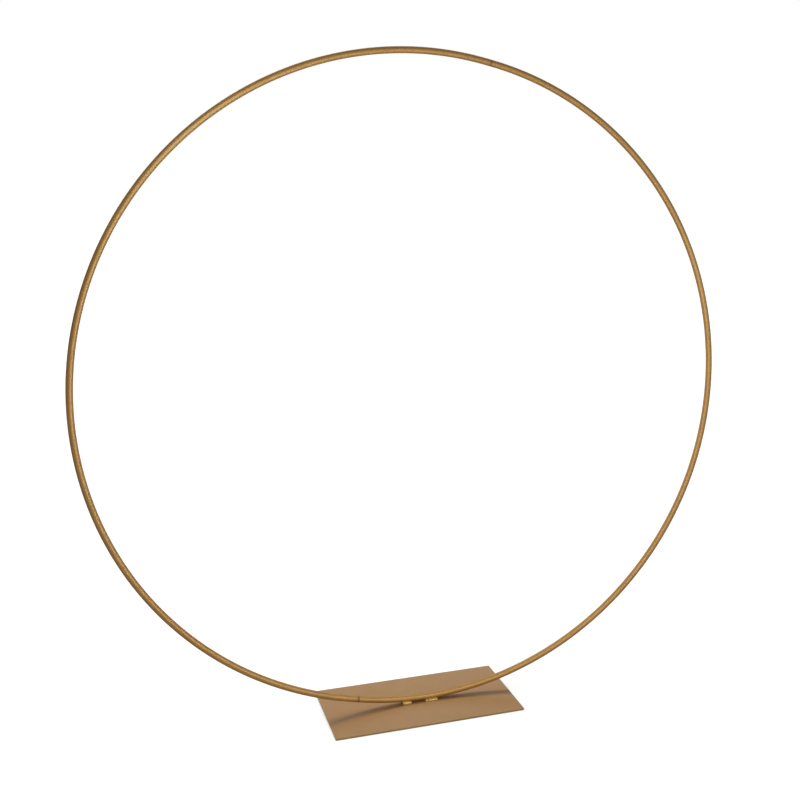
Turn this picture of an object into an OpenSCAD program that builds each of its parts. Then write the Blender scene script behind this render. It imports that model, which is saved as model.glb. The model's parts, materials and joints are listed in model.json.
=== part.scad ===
// Hoop wreath frame on a flat foot: a tube ring that parts into two half
// hoops, one of them welded to a steel base plate.
// Millimetres, +Z up, X along the base plate, Y through the hoop.
// The origin is on the surface that the plate rests on, under the hoop's middle.

/* [Hoop] */
// Outside diameter of each half hoop's arc
hoop_od = 1000; // [600:10:1500]
// Outside diameter of the tube
tube_d = 10; // [9:0.5:14]
// Wall thickness of the tube
tube_wall = 1; // [0.8:0.1:1.5]
// Unbent length at each end of the fixed half, measured from the seam's middle
fixed_straight = 1.8; // [1.6:0.1:5]
// Unbent length at each end of the loose half, measured from the seam's middle
loose_straight = 8.2; // [5:0.1:15]
// Lean of the line that parts the two halves, off vertical, top end towards +X
seam_tilt = 12.5; // [8:0.5:20]
// Open seam between the ends of the two halves
seam_gap = 0.8; // [0.4:0.1:1.5]
// Chamfer on the outer rim of each tube end
end_chamfer = 0.35; // [0.1:0.05:0.5]

/* [Joint spigots] */
// Length that a spigot stands out of the fixed half, measured from the seam's middle
spigot_reach = 20; // [12:1:20]
// Length of the spigot that is pressed into the fixed half
spigot_grip = 20; // [12:1:30]
// Radial clearance between a spigot and the loose half's bore
slip_clearance = 0.25; // [0.2:0.05:0.6]
// Chamfer on the spigot's nose
nose_chamfer = 1; // [0.5:0.1:1.5]

/* [Base plate] */
// Length along the hoop
plate_l = 298; // [200:1:500]
// Width through the hoop
plate_w = 161; // [100:1:300]
// Thickness
plate_t = 2.5; // [2:0.5:6]
// Corner radius
plate_corner_r = 2; // [1:0.5:20]
// Distance from the hoop's middle to the plate's middle, along X
plate_shift = -7; // [-20:0.5:20]
// Distance from the hoop's plane to the plate's middle, along Y
plate_setback = 1.5; // [-10:0.5:10]

/* [Weld beads] */
// Distance between the middles of the left and right beads
weld_pitch = 40; // [30:1:60]
// Length of the left beads
weld_left_l = 15; // [8:1:25]
// Length of the right beads
weld_right_l = 20; // [8:1:25]
// Radius of one ripple of a bead
ripple_r = 3.7; // [3:0.1:5]
// Distance from one ripple to the next
ripple_pitch = 2; // [1:0.25:3]

/* [Hidden] */

tube_r = tube_d / 2;
bore_r = tube_r - tube_wall;
arc_r = hoop_od / 2 - tube_r;

// The hoop's middle is halfway between the middles of the two arcs.
arc_offset = (fixed_straight + loose_straight) / 2;
seam_offset = (loose_straight - fixed_straight) / 2;

// The lowest point of the fixed half touches the plate.
hoop_z = plate_t + arc_r + tube_r + arc_offset * sin(seam_tilt);
touch_x = arc_offset * cos(seam_tilt);

press_gap = 0.02;
spigot_r = bore_r - slip_clearance;
grip_r = bore_r - press_gap;
grip_arc = spigot_grip - fixed_straight;

// The spigot's straight length runs on into its bent grip, inside the metal.
core_r = grip_r / 2;
core_overlap = 1;

// The bead's middle line lies just clear of the tube's side, a little
// below the plate's top face.
bead_y = tube_r + 0.2;
bead_sink = 0.6;

gold = "#b08b4f";
gold_flat = "#a5835f";
bare_steel = "#9a9a98";

$fn = 64;

// ---------- shapes shared by several pieces ----------

// Places a half hoop: its seam's middle line is at X = 0 and its arc is towards +X.
module hoop_frame() {
    translate([0, 0, hoop_z])
        rotate([0, seam_tilt, 0])
            translate([seam_offset, 0, 0])
                children();
}

// Half turn of a round profile about the hoop's middle, on the +X side.
module half_turn() {
    rotate([90, 0, 0])
        rotate([0, 0, -90])
            rotate_extrude(angle = 180, $fn = 360)
                translate([arc_r, 0])
                    children();
}

// Straight end of a half hoop: a tube with a chamfered outer rim at the seam.
module tube_end(straight) {
    length = straight - seam_gap / 2;
    translate([seam_gap / 2, 0, 0])
        rotate([0, 90, 0])
            rotate_extrude()
                polygon([
                    [bore_r, 0],
                    [tube_r - end_chamfer, 0],
                    [tube_r, end_chamfer],
                    [tube_r, length],
                    [bore_r, length]
                ]);
}

// One half of the hoop, on the +X side of the seams.
module half_hoop(straight) {
    translate([straight, 0, 0])
        half_turn()
            difference() {
                circle(r = tube_r);
                circle(r = bore_r);
            }
    for (end = [-1, 1])
        translate([0, 0, end * arc_r])
            tube_end(straight);
}

// Spigot at the top seam: a bent grip inside the fixed half and a straight
// nose that the loose half slips over.
module spigot() {
    nose_l = spigot_reach + seam_gap / 2;
    translate([-spigot_reach, 0, arc_r])
        rotate([0, 90, 0])
            rotate_extrude()
                polygon([
                    [0, 0],
                    [spigot_r - nose_chamfer, 0],
                    [spigot_r, nose_chamfer],
                    [spigot_r, nose_l],
                    [grip_r, nose_l],
                    [grip_r, spigot_reach + fixed_straight],
                    [core_r, spigot_reach + fixed_straight],
                    [core_r, spigot_reach + fixed_straight + core_overlap],
                    [0, spigot_reach + fixed_straight + core_overlap]
                ]);
    turn = grip_arc / arc_r * 180 / PI;
    translate([fixed_straight, 0, 0])
        rotate([90, 0, 0])
            rotate([0, 0, 90 - turn])
                rotate_extrude(angle = turn, $fn = 360)
                    translate([arc_r, 0])
                        circle(r = grip_r);
}

// Fillet weld between tube and plate: overlapping round ripples, cut off by
// the plate's top face and by the tube. Side is -1 at the front, 1 at the rear.
module weld_bead(middle_x, length, side) {
    ripples = floor(length / ripple_pitch) - 2;
    first_x = middle_x - (ripples - 1) * ripple_pitch / 2;
    difference() {
        for (i = [0 : ripples - 1]) {
            x = first_x + i * ripple_pitch;
            lift = pow(x - touch_x, 2) / (2 * arc_r);
            translate([x, side * bead_y, plate_t - bead_sink + lift])
                sphere(r = ripple_r);
        }
        translate([middle_x, 0, plate_t - ripple_r - 1])
            cube([2 * length, 8 * tube_r, 2 * (ripple_r + 1)], center = true);
        hoop_frame()
            translate([fixed_straight, 0, 0])
                half_turn()
                    circle(r = tube_r);
    }
}

// ---------- the pieces ----------

module base_plate() {
    color(gold_flat)
        translate([plate_shift, plate_setback, 0])
            difference() {
                translate([-plate_l / 2, -plate_w / 2, 0])
                    cube([plate_l, plate_w, plate_t]);
                for (sx = [-1, 1], sy = [-1, 1])
                    translate([sx * plate_l / 2, sy * plate_w / 2, 0])
                        corner_waste(sx, sy);
            }
}

// What a rounded corner loses, at the corner on the side that sx and sy give.
module corner_waste(sx, sy) {
    inset = plate_corner_r;
    difference() {
        translate([-sx * inset / 2, -sy * inset / 2, plate_t / 2])
            cube([inset, inset, plate_t], center = true);
        translate([-sx * inset, -sy * inset, -1])
            cylinder(r = inset, h = plate_t + 2);
    }
}

module fixed_half_hoop() {
    color(gold)
        hoop_frame()
            half_hoop(fixed_straight);
}

module loose_half_hoop() {
    color(gold)
        hoop_frame()
            mirror([1, 0, 0])
                half_hoop(loose_straight);
}

module upper_spigot() {
    color(bare_steel)
        hoop_frame()
            spigot();
}

module lower_spigot() {
    color(bare_steel)
        hoop_frame()
            mirror([0, 0, 1])
                spigot();
}

module weld_left(side) {
    color(gold)
        weld_bead(plate_shift - weld_pitch / 2, weld_left_l, side);
}

module weld_right(side) {
    color(gold)
        weld_bead(plate_shift + weld_pitch / 2, weld_right_l, side);
}

base_plate();
fixed_half_hoop();
loose_half_hoop();
upper_spigot();
lower_spigot();
weld_left(-1);  // weld_front_left
weld_right(-1);  // weld_front_right
weld_left(1);  // weld_rear_left
weld_right(1);  // weld_rear_right
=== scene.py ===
"""Looks of the hoop wreath frame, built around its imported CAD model.

Everything is in metres and in the part's own frame: +Z up, X along the base
plate, Y through the hoop, with the floor at z = 0.
"""

import json
import math

import bmesh
import bpy
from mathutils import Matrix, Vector, noise


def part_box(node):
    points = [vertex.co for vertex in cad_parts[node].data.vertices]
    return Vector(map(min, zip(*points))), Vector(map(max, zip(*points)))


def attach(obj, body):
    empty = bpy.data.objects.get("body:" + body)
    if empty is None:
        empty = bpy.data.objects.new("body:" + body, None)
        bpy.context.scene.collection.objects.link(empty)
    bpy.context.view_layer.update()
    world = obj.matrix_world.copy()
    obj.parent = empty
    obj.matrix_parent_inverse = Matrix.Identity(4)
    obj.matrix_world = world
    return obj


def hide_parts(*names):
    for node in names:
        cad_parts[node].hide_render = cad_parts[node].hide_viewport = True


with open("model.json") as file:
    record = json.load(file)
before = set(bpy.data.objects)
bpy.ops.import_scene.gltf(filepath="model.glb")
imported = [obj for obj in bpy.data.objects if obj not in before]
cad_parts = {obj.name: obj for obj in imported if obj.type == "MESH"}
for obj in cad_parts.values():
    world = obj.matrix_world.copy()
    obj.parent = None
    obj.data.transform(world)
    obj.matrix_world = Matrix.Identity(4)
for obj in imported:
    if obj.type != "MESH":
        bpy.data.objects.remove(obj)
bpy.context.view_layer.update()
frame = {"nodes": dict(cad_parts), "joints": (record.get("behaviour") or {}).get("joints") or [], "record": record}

MM = 0.001

# ---------- measures taken from the frame ----------

MOUNTS = {mount["name"]: mount for mount in frame["record"]["mounts"]}
RAIL = MOUNTS["hoop_rail"]
PULL = Vector(frame["joints"][0]["axis"])
SEAM_UP = Vector((PULL.z, 0, -PULL.x))

plate_low, plate_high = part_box("base_plate")
fixed_low, fixed_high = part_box("fixed_half_hoop")
loose_low, loose_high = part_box("loose_half_hoop")

HOOP_MIDDLE = Vector((
    (loose_low.x + fixed_high.x) / 2,
    0,
    (fixed_low.z + loose_high.z) / 2,
))
TUBE_R = RAIL["dims"]["r_mm"] * MM
ARC_R = RAIL["pos_m"][2] - HOOP_MIDDLE.z
ARC_OFFSET = ((fixed_high.x - loose_low.x) / 2 - ARC_R - TUBE_R) / -PULL.x
FIXED_ARC_MIDDLE = HOOP_MIDDLE - PULL * ARC_OFFSET
PLATE_TOP = plate_high.z


def half_end(node, side):
    """How far from the hoop's middle a half hoop starts, along the way that it bulges."""
    return min((v.co - HOOP_MIDDLE).dot(side) for v in frame["nodes"][node].data.vertices)


# ---------- measures of the looks ----------

TUBE_WALL = 1.0 * MM
RIM_ROUND = 0.35 * MM
TUBE_SIDES = 48
SKIN_STEPS = 720
BORE_STEPS = 120

PLATE_CORNER = 2.0 * MM
PLATE_EDGE_ROUND = 0.35 * MM
CORNER_STEPS = 6

FRONT = -1
REAR = 1
BEAD_R = 3.25 * MM
BEAD_STEP = 0.25 * MM
BEAD_MIDDLE_OUT = 0.2 * MM
BEAD_SINK = 0.6 * MM
BEAD_ROOT_IN = 0.35 * TUBE_R
BEAD_ROOT_OVER = 0.4 * MM
BEAD_ROOT_UNDER = 0.2 * MM

# A bead's round outside, in degrees up from level.
BEAD_ARC_FROM = -12
BEAD_ARC_SPAN = 125
BEAD_ARC_POINTS = 18

# Places and widths along a bead are shares of its length.
BEAD_END_CUT = 0.004
BEAD_END_SQUARENESS = 14
BEAD_END_ROUNDNESS = 0.45
LUMP_AT = 0.12
LUMP_WIDTH = 0.1
NOTCH_AT = 0.29
NOTCH_WIDTH = 0.045
NOTCH_OVER_LUMP = 0.9

RIPPLE_PITCH = 1.6 * MM
RIPPLE_DEPTH = 0.16 * MM
RIPPLE_BOW = 0.5 * MM
RIPPLE_FULLNESS = 0.6
RIPPLE_LEVEL = 0.6
BEAD_ROUGH_DEPTH = 0.12 * MM
BEAD_ROUGH_CELLS = 900

# Cells of a material's pattern in a metre.
CLOUD_CELLS = 34
FLAKE_CELLS = 2600
PEEL_CELLS = 900
GRIT_CELLS = 5200
PIT_CELLS = 1400
STAIN_CELLS = 160

SPARKLE = 0.04
ROUGHNESS_SPREAD = 0.03
CLEAR_COAT_ROUGHNESS = 0.28
RUBBED_COLOUR = (0.16, 0.11, 0.06)
# Both steel colours are kept very dark as painted shade: the steel seen through the narrow seam gap stands for the
# shaded gap. The stains vary them at random.
STEEL_WITH_PAINTED_SHADE = (0.12, 0.11, 0.10)
STAINED_STEEL_WITH_PAINTED_SHADE = (0.08, 0.07, 0.06)

WORLD_LIGHT = 0.22
FLOOR_LIGHT = 3.2
FLOOR_REACH = 60
FLOOR_SEEN = (0.93, 0.93, 0.93)
FLOOR_BOUNCE = (0.24, 0.24, 0.24)
SKY_BLUE = (0.8, 1.0, 1.2)

CAMERA_PLACE = Vector((-0.4421, -1.4892, 0.7791))
CAMERA_TURN = math.radians(-18.5)
CAMERA_TILT = math.radians(-8.31)
CAMERA_LENS = 46.8
CAMERA_SHIFT = (-0.0701, -0.0548)


# ---------- materials ----------


def new_material(name):
    """A fresh node material, with its node tree and its Principled shader."""
    material = bpy.data.materials.new(name)
    material.use_nodes = True
    tree = material.node_tree
    return material, tree, tree.nodes["Principled BSDF"]


def add(tree, kind, **values):
    """Adds a node. Values go to its sockets by name, with _ for a space."""
    node = tree.nodes.new(kind)
    for key, value in values.items():
        node.inputs[key.replace("_", " ")].default_value = value
    return node


def noise_node(tree, per_metre, detail, roughness=0.5):
    """Noise in the object's own coordinates, with a scale in cells per metre."""
    place = tree.nodes.new("ShaderNodeTexCoord")
    node = add(tree, "ShaderNodeTexNoise", Scale=per_metre, Detail=detail, Roughness=roughness)
    tree.links.new(place.outputs["Object"], node.inputs["Vector"])
    return node


def flake_node(tree, per_metre):
    """Cells of random brightness, for the flakes in a metallic coat."""
    place = tree.nodes.new("ShaderNodeTexCoord")
    node = add(tree, "ShaderNodeTexVoronoi", Scale=per_metre)
    node.feature = "F1"
    tree.links.new(place.outputs["Object"], node.inputs["Vector"])
    return node


def remap(tree, source, low, high, to_low, to_high):
    """Maps a value from one range to another, and holds it there."""
    node = add(tree, "ShaderNodeMapRange",
               From_Min=low, From_Max=high, To_Min=to_low, To_Max=to_high)
    tree.links.new(source, node.inputs["Value"])
    return node.outputs["Result"]


def blend_colours(tree, share, first, second):
    """Mixes two colours, each a tuple or an output, by a share that an output gives."""
    node = tree.nodes.new("ShaderNodeMix")
    node.data_type = "RGBA"
    tree.links.new(share, node.inputs["Factor"])
    for socket, colour in ((node.inputs[6], first), (node.inputs[7], second)):
        if isinstance(colour, tuple):
            socket.default_value = (*colour, 1)
        else:
            tree.links.new(colour, socket)
    return node.outputs[2]


def scale_colour(tree, colour, factor):
    """A colour made lighter or darker by an output round 1."""
    node = tree.nodes.new("ShaderNodeVectorMath")
    node.operation = "SCALE"
    tree.links.new(colour, node.inputs[0])
    tree.links.new(factor, node.inputs["Scale"])
    return node.outputs["Vector"]


def worn(tree):
    """The wear painted on the mesh: 0 on sound coat, 1 on a rubbed edge."""
    node = tree.nodes.new("ShaderNodeAttribute")
    node.attribute_name = "wear"
    return node.outputs["Fac"]


def powder_coat(name, thin, thick, roughness, metallic, coat):
    """Satin metallic powder coat: orange peel, flakes, uneven thickness and rubbed edges."""
    material, tree, shader = new_material(name)
    clouds = noise_node(tree, CLOUD_CELLS, 3)
    flakes = flake_node(tree, FLAKE_CELLS)
    peel = noise_node(tree, PEEL_CELLS, 2)
    grit = noise_node(tree, GRIT_CELLS, 1)

    body = blend_colours(tree, remap(tree, clouds.outputs["Fac"], 0.35, 0.65, 0, 1), thin, thick)
    separate = tree.nodes.new("ShaderNodeSeparateColor")
    tree.links.new(flakes.outputs["Color"], separate.inputs["Color"])
    sparkle = remap(tree, separate.outputs["Red"], 0, 1, 1 - SPARKLE, 1 + SPARKLE)
    body = scale_colour(tree, body, sparkle)
    patchy = add(tree, "ShaderNodeMath")
    patchy.operation = "MULTIPLY"
    tree.links.new(worn(tree), patchy.inputs[0])
    tree.links.new(remap(tree, peel.outputs["Fac"], 0.3, 0.6, 0.35, 1), patchy.inputs[1])
    colour = blend_colours(tree, patchy.outputs["Value"], body, RUBBED_COLOUR)
    tree.links.new(colour, shader.inputs["Base Color"])

    rough = remap(tree, grit.outputs["Fac"], 0.3, 0.7,
                  roughness - ROUGHNESS_SPREAD, roughness + ROUGHNESS_SPREAD)
    tree.links.new(rough, shader.inputs["Roughness"])
    shader.inputs["Metallic"].default_value = metallic
    shader.inputs["Coat Weight"].default_value = coat
    shader.inputs["Coat Roughness"].default_value = CLEAR_COAT_ROUGHNESS

    ripple = add(tree, "ShaderNodeBump", Strength=0.3, Distance=0.02 * MM)
    tree.links.new(peel.outputs["Fac"], ripple.inputs["Height"])
    fine = add(tree, "ShaderNodeBump", Strength=0.1, Distance=0.004 * MM)
    tree.links.new(separate.outputs["Green"], fine.inputs["Height"])
    tree.links.new(ripple.outputs["Normal"], fine.inputs["Normal"])
    tree.links.new(fine.outputs["Normal"], shader.inputs["Normal"])
    return material


def bare_steel(name):
    """Uncoated steel rod, kept very dark as painted shade for the narrow seam gap, with random stains, an uneven
    gloss and fine pits.
    """
    material, tree, shader = new_material(name)
    pits = noise_node(tree, PIT_CELLS, 4, 0.7)
    stain = noise_node(tree, STAIN_CELLS, 3)
    colour = blend_colours(tree, remap(tree, stain.outputs["Fac"], 0.35, 0.7, 0, 1),
                           STEEL_WITH_PAINTED_SHADE, STAINED_STEEL_WITH_PAINTED_SHADE)
    tree.links.new(colour, shader.inputs["Base Color"])
    rough = remap(tree, pits.outputs["Fac"], 0.3, 0.7, 0.24, 0.42)
    tree.links.new(rough, shader.inputs["Roughness"])
    shader.inputs["Metallic"].default_value = 1
    bump = add(tree, "ShaderNodeBump", Strength=0.3, Distance=0.01 * MM)
    tree.links.new(pits.outputs["Fac"], bump.inputs["Height"])
    tree.links.new(bump.outputs["Normal"], shader.inputs["Normal"])
    return material


# ---------- mesh helpers ----------


def finish_piece(name, mesh_builder, material, body, slot, *nodes):
    """Turns a bmesh into a piece that rides on a body and stands for CAD nodes."""
    bmesh.ops.recalc_face_normals(mesh_builder, faces=mesh_builder.faces)
    mesh = bpy.data.meshes.new(name)
    mesh_builder.to_mesh(mesh)
    mesh_builder.free()
    mesh.materials.append(material)
    mesh.shade_smooth()
    piece = bpy.data.objects.new(name, mesh)
    bpy.context.scene.collection.objects.link(piece)
    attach(piece, body)
    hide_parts(*nodes)
    return piece


def wear_layer(mesh_builder):
    """The vertex layer that worn() reads. It starts at 0, which is sound coat."""
    return mesh_builder.verts.layers.float.new("wear")


def bridge(mesh_builder, first, second):
    """Faces between two rings of the same number of vertices."""
    count = len(first)
    for i in range(count):
        j = (i + 1) % count
        mesh_builder.faces.new((first[i], first[j], second[j], second[i]))


# ---------- the hoop ----------


def half_hoop_path(side, run):
    """Point and outward direction on the centreline of the half that bulges to a side.

    The run is in metres, from the place over the hoop's middle."""
    half_turn = ARC_R * math.pi
    if run < ARC_OFFSET:
        return HOOP_MIDDLE + side * run + SEAM_UP * ARC_R, SEAM_UP
    if run > ARC_OFFSET + half_turn:
        back = 2 * ARC_OFFSET + half_turn - run
        return HOOP_MIDDLE + side * back - SEAM_UP * ARC_R, -SEAM_UP
    turn = (run - ARC_OFFSET) / ARC_R
    out = SEAM_UP * math.cos(turn) + side * math.sin(turn)
    return HOOP_MIDDLE + side * ARC_OFFSET + out * ARC_R, out


def rim_steps(wall_side):
    """Depth from the tube's end and radius along its rounded rim, from the end face to the wall."""
    middle_r = TUBE_R - RIM_ROUND if wall_side > 0 else TUBE_R - TUBE_WALL + RIM_ROUND / 2
    size = RIM_ROUND if wall_side > 0 else RIM_ROUND / 2
    steps = 5
    for i in range(steps + 1):
        turn = math.pi / 2 * i / steps
        yield size * (1 - math.cos(turn)), middle_r + wall_side * size * math.sin(turn)


def tube_stations(start, end):
    """Run and radius of every ring of a hollow tube, once round its wall."""
    outer, inner = list(rim_steps(1)), list(rim_steps(-1))
    bent = end + start - 2 * ARC_OFFSET
    skin = [ARC_OFFSET + bent * i / SKIN_STEPS for i in range(SKIN_STEPS + 1)]
    bore = [ARC_OFFSET + bent * i / BORE_STEPS for i in range(BORE_STEPS, -1, -1)]
    stations = [(start + depth, r) for depth, r in outer]
    stations += [(run, TUBE_R) for run in skin]
    stations += [(end - depth, r) for depth, r in reversed(outer)]
    stations += [(end - depth, r) for depth, r in inner]
    stations += [(run, TUBE_R - TUBE_WALL) for run in bore]
    stations += [(start + depth, r) for depth, r in reversed(inner)]
    return stations


def half_hoop(name, body, node, material, side):
    """Half ring of bent tube, hollow, with rounded rims that are rubbed at the seam."""
    start = half_end(node, side)
    end = 2 * ARC_OFFSET + ARC_R * math.pi - start
    mesh_builder = bmesh.new()
    wear = wear_layer(mesh_builder)
    rings = []
    for run, radius in tube_stations(start, end):
        middle, out = half_hoop_path(side, run)
        from_seam = min(run - start, end - run)
        ring = []
        for i in range(TUBE_SIDES):
            turn = 2 * math.pi * i / TUBE_SIDES
            around = out * math.cos(turn) + Vector((0, math.sin(turn), 0))
            vertex = mesh_builder.verts.new(middle + around * radius)
            vertex[wear] = max(0, 1 - from_seam / (2 * RIM_ROUND)) * 0.8
            ring.append(vertex)
        rings.append(ring)
    for first, second in zip(rings, rings[1:] + rings[:1]):
        bridge(mesh_builder, first, second)
    return finish_piece(name, mesh_builder, material, body, "hoop_coat", node)


# ---------- the base plate ----------


def plate_outline():
    """The plate's outline, with its four corners rounded."""
    points = []
    corners = (
        (plate_high.x, plate_high.y, 0),
        (plate_low.x, plate_high.y, 1),
        (plate_low.x, plate_low.y, 2),
        (plate_high.x, plate_low.y, 3),
    )
    for x, y, quarter in corners:
        inward_x = -1 if x == plate_high.x else 1
        inward_y = -1 if y == plate_high.y else 1
        for i in range(CORNER_STEPS + 1):
            turn = math.pi / 2 * (quarter + i / CORNER_STEPS)
            points.append((
                x + PLATE_CORNER * (inward_x + math.cos(turn)),
                y + PLATE_CORNER * (inward_y + math.sin(turn)),
            ))
    return points


def base_plate(flat, rim):
    """Flat cut sheet with softened edges, with a lighter copy of the coat on the rim as painted light on the edge.
    """
    mesh_builder = bmesh.new()
    bottom = [mesh_builder.verts.new((x, y, plate_low.z)) for x, y in plate_outline()]
    top = [mesh_builder.verts.new((x, y, PLATE_TOP)) for x, y in plate_outline()]
    mesh_builder.faces.new(top)
    mesh_builder.faces.new(bottom[::-1])
    bridge(mesh_builder, bottom, top)
    mesh_builder.normal_update()
    # The two flat faces take the first material, and the rim takes the second, a lighter copy of the coat painted
    # as the light that the edge catches.
    for face in mesh_builder.faces:
        face.material_index = int(abs(face.normal.z) < 0.5)
    wear_layer(mesh_builder)
    plate = finish_piece("plate_sheet", mesh_builder, flat, "stand", "plate_coat", "base_plate")
    plate.data.materials.append(rim)
    edge = plate.modifiers.new("edge_round", "BEVEL")
    edge.width = PLATE_EDGE_ROUND
    edge.segments = 3
    edge.limit_method = "ANGLE"
    edge.angle_limit = math.radians(60)
    edge.harden_normals = True
    return plate


# ---------- the weld beads ----------


def tube_middle_over_plate(x):
    """Height of the fixed half's centreline over a place along the plate."""
    across = x - FIXED_ARC_MIDDLE.x
    return FIXED_ARC_MIDDLE.z - math.sqrt(ARC_R ** 2 - across ** 2)


def bead_swell(share, lump):
    """A bead's radius as a share of BEAD_R: round ends, then a lump and a notch near its start."""
    ends = max(0, 1 - abs(2 * share - 1) ** BEAD_END_SQUARENESS) ** BEAD_END_ROUNDNESS
    start = 1 + lump * math.exp(-((share - LUMP_AT) / LUMP_WIDTH) ** 2)
    notch = 1 - lump * NOTCH_OVER_LUMP * math.exp(-((share - NOTCH_AT) / NOTCH_WIDTH) ** 2)
    return ends * start * notch


def bead_section(x, share, lump, side, seed):
    """Closed outline of a bead at one place along it: the round outside, then the hidden root."""
    lift = tube_middle_over_plate(x) - TUBE_R - PLATE_TOP
    middle_y = TUBE_R + BEAD_MIDDLE_OUT
    middle_z = PLATE_TOP - BEAD_SINK + lift
    size = bead_swell(share, lump)
    points = []
    for i in range(BEAD_ARC_POINTS + 1):
        up = i / BEAD_ARC_POINTS
        turn = math.radians(BEAD_ARC_FROM + BEAD_ARC_SPAN * up)
        wave = (x + RIPPLE_BOW * math.cos(2 * turn)) / RIPPLE_PITCH
        crest = abs(math.sin(math.pi * (wave + seed))) ** RIPPLE_FULLNESS
        ripple = RIPPLE_DEPTH * (crest - RIPPLE_LEVEL)
        rough_at = Vector((x, turn * MM, seed * MM)) * BEAD_ROUGH_CELLS
        rough = BEAD_ROUGH_DEPTH * noise.noise(rough_at)
        radius = BEAD_R * size + (ripple + rough) * min(1, 2 * size)
        y = middle_y + radius * math.cos(turn)
        z = max(middle_z + radius * math.sin(turn), PLATE_TOP - BEAD_ROOT_UNDER)
        points.append(Vector((x, side * y, z)))
    points.append(Vector((x, side * BEAD_ROOT_IN, PLATE_TOP + lift + BEAD_ROOT_OVER)))
    points.append(Vector((x, side * BEAD_ROOT_IN, PLATE_TOP - BEAD_ROOT_UNDER)))
    return points


def weld_bead(name, node, material, side, lump, seed):
    """Short fillet weld between tube and plate, with ripples."""
    low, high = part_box(node)
    length = high.x - low.x
    steps = round(length / BEAD_STEP)
    mesh_builder = bmesh.new()
    wear_layer(mesh_builder)
    rings = []
    for i in range(steps + 1):
        share = BEAD_END_CUT + (1 - 2 * BEAD_END_CUT) * i / steps
        section = bead_section(low.x + share * length, share, lump, side, seed)
        rings.append([mesh_builder.verts.new(p) for p in section])
    for first, second in zip(rings, rings[1:]):
        bridge(mesh_builder, first, second)
    mesh_builder.faces.new(rings[0])
    mesh_builder.faces.new(rings[-1][::-1])
    return finish_piece(name, mesh_builder, material, "stand", "hoop_coat", node)


# ---------- the studio ----------


def white_world():
    """White to the camera, and a softer grey to everything that it lights."""
    world = bpy.data.worlds.new("studio")
    world.use_nodes = True
    tree = world.node_tree
    seen = tree.nodes["Background"]
    seen.inputs["Color"].default_value = (1, 1, 1, 1)
    lit = add(tree, "ShaderNodeBackground", Color=(1, 1, 1, 1), Strength=WORLD_LIGHT)
    ray = tree.nodes.new("ShaderNodeLightPath")
    mix = tree.nodes.new("ShaderNodeMixShader")
    tree.links.new(ray.outputs["Is Camera Ray"], mix.inputs["Fac"])
    tree.links.new(lit.outputs["Background"], mix.inputs[1])
    tree.links.new(seen.outputs["Background"], mix.inputs[2])
    tree.links.new(mix.outputs["Shader"], tree.nodes["World Output"].inputs["Surface"])
    bpy.context.scene.world = world


def pale_floor():
    """Wide pale floor that the plate stands on, with a dimmer reflection than it looks."""
    mesh_builder = bmesh.new()
    bmesh.ops.create_grid(mesh_builder, x_segments=1, y_segments=1, size=FLOOR_REACH)
    mesh = bpy.data.meshes.new("floor")
    mesh_builder.to_mesh(mesh)
    mesh_builder.free()
    floor = bpy.data.objects.new("floor", mesh)
    bpy.context.scene.collection.objects.link(floor)
    material, tree, shader = new_material("pale_floor")
    ray = tree.nodes.new("ShaderNodeLightPath")
    tint = blend_colours(tree, ray.outputs["Is Camera Ray"], FLOOR_BOUNCE, FLOOR_SEEN)
    tree.links.new(tint, shader.inputs["Base Color"])
    shader.inputs["Roughness"].default_value = 1
    shader.inputs["Specular IOR Level"].default_value = 0
    mesh.materials.append(material)
    return floor


def light_group(name, state, *things):
    """What a light falls on: only the things named, or all but them."""
    group = bpy.data.collections.new(name)
    for thing in things:
        group.objects.link(thing)
    for member in group.collection_objects:
        member.light_linking.link_state = state
    return group


def softbox(name, group, place, target, size, radiance, colour=(1, 1, 1)):
    """Flat soft light that faces a point, and that the camera doesn't see."""
    width, height = size
    data = bpy.data.lights.new(name, "AREA")
    data.shape = "RECTANGLE"
    data.size = width
    data.size_y = height
    data.energy = radiance * math.pi * width * height
    data.color = colour
    light = bpy.data.objects.new(name, data)
    light.location = place
    light.rotation_euler = (Vector(target) - Vector(place)).to_track_quat("-Z", "Y").to_euler()
    light.visible_camera = False
    light.light_linking.receiver_collection = group
    bpy.context.scene.collection.objects.link(light)
    return light


def floor_light(group):
    """Broad even light from overhead, for the floor alone."""
    data = bpy.data.lights.new("floor_light", "SUN")
    data.angle = math.radians(150)
    data.energy = FLOOR_LIGHT
    light = bpy.data.objects.new("floor_light", data)
    light.light_linking.receiver_collection = group
    bpy.context.scene.collection.objects.link(light)


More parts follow.
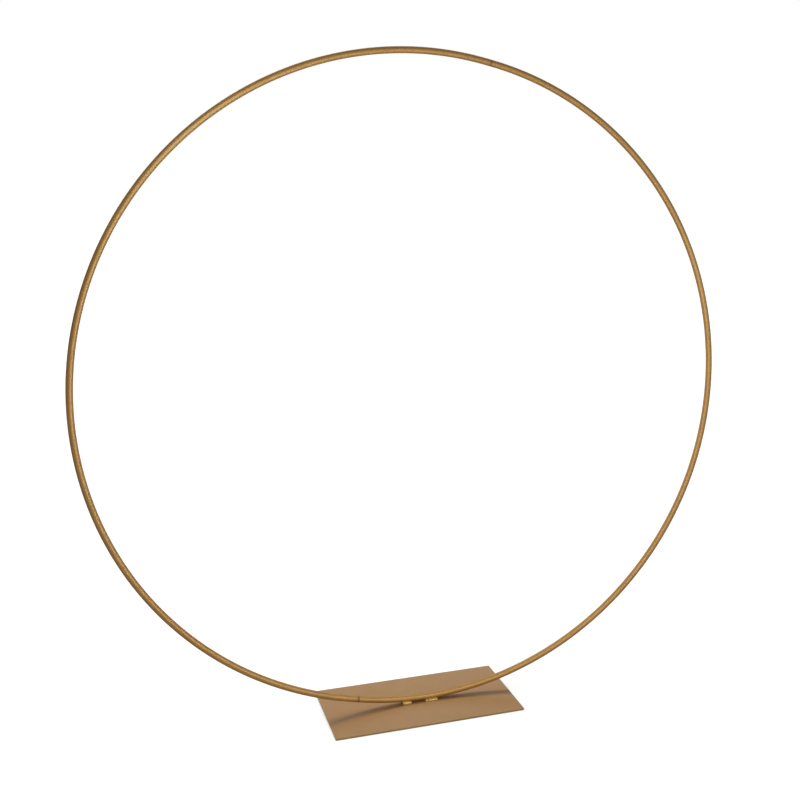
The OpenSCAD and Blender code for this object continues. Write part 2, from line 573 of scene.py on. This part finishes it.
def studio_lights(floor, plate):
    """Soft light from all round, and three small lights that leave the plate alone."""
    floor_light(light_group("floor_only", "INCLUDE", floor))
    others = light_group("all_but_floor", "EXCLUDE", floor)
    hoop_only = light_group("all_but_floor_and_plate", "EXCLUDE", floor, plate)
    foot = (0, 0, 0)
    hoop = (0, 0, 0.5)
    key = softbox("key", others, place=(-0.84, 1.95, 2.12), target=foot, size=(0.8, 0.8), radiance=35)
    key.visible_glossy = False
    softbox("back_left", others, place=(-0.8, 1.0, 0.6), target=(0, 0, 0.6), size=(0.8, 1.3), radiance=0.9)
    softbox("right_wall", others, place=(2.3, 0.0, 1.0), target=hoop, size=(1.0, 1.6), radiance=0.3)
    softbox("top_back", others, place=(0.2, 1.0, 2.2), target=hoop, size=(2.0, 1.1), radiance=1.0)
    softbox("backdrop", others, place=(0.9, 2.8, 1.15), target=foot, size=(1.8, 0.9), radiance=0.5)
    softbox("front_fill", others, place=(0.4, -2.6, 0.7), target=hoop, size=(2.2, 1.4), radiance=1.5)
    softbox("front_near", hoop_only, place=(0.0, -0.5, 0.48), target=hoop, size=(0.4, 0.4), radiance=4.9)
    softbox("sheen_left", hoop_only, place=(-0.30, -0.24, 0.91), target=(-0.31, 0, 0.90),
            size=(0.16, 0.16), radiance=2.6, colour=SKY_BLUE)
    softbox("sheen_right", hoop_only, place=(0.44, -0.24, 0.60), target=(0.48, 0, 0.62),
            size=(0.16, 0.16), radiance=1.5, colour=SKY_BLUE)


def camera():
    """A camera in front of the hoop, a little to its left and above its middle."""
    data = bpy.data.cameras.new("camera")
    data.lens = CAMERA_LENS
    data.shift_x, data.shift_y = CAMERA_SHIFT
    seen_from = bpy.data.objects.new("camera", data)
    seen_from.location = CAMERA_PLACE
    seen_from.rotation_euler = (math.pi / 2 + CAMERA_TILT, 0, CAMERA_TURN)
    bpy.context.scene.collection.objects.link(seen_from)
    bpy.context.scene.camera = seen_from


# ---------- the scene ----------

hoop_coat = powder_coat("gold_coat_hoop", thin=(0.44, 0.226, 0.045), thick=(0.415, 0.209, 0.039),
                        roughness=0.5, metallic=0.35, coat=0.5)
# The plate's copy of the coat is paler and bluer than the hoop's: partly its own hue, partly painted sheen, the
# whitish reflection that the flat top shows at a low angle.
plate_coat = powder_coat("gold_coat_plate", thin=(0.45, 0.25, 0.098), thick=(0.43, 0.236, 0.09),
                         roughness=0.55, metallic=0.25, coat=0.5)
# A lighter copy of the same gold coat, for the weld beads and the plate's rim: painted light, standing for the
# light from the front that these faces catch.
bead_and_rim_painted_light_coat = powder_coat("gold_coat_painted_light", thin=(0.56, 0.34, 0.08), thick=(0.50, 0.30, 0.07),
                        roughness=0.42, metallic=0.35, coat=0.6)
steel = bare_steel("spigot_steel")

half_hoop("hoop_half_right", "stand", "fixed_half_hoop", hoop_coat, side=-PULL)
half_hoop("hoop_half_left", "loose_half", "loose_half_hoop", hoop_coat, side=PULL)
plate = base_plate(plate_coat, bead_and_rim_painted_light_coat)
weld_bead("bead_front_left", "weld_front_left", bead_and_rim_painted_light_coat, FRONT, lump=0.08, seed=0.2)
weld_bead("bead_front_right", "weld_front_right", bead_and_rim_painted_light_coat, FRONT, lump=0.2, seed=0.7)
weld_bead("bead_rear_left", "weld_rear_left", bead_and_rim_painted_light_coat, REAR, lump=0.12, seed=0.4)
weld_bead("bead_rear_right", "weld_rear_right", bead_and_rim_painted_light_coat, REAR, lump=0.1, seed=0.9)
for node in ("upper_spigot", "lower_spigot"):
    frame["nodes"][node].data.materials.clear()
    frame["nodes"][node].data.materials.append(steel)

white_world()
studio_lights(pale_floor(), plate)
camera()
bpy.context.scene.view_settings.view_transform = "Standard"
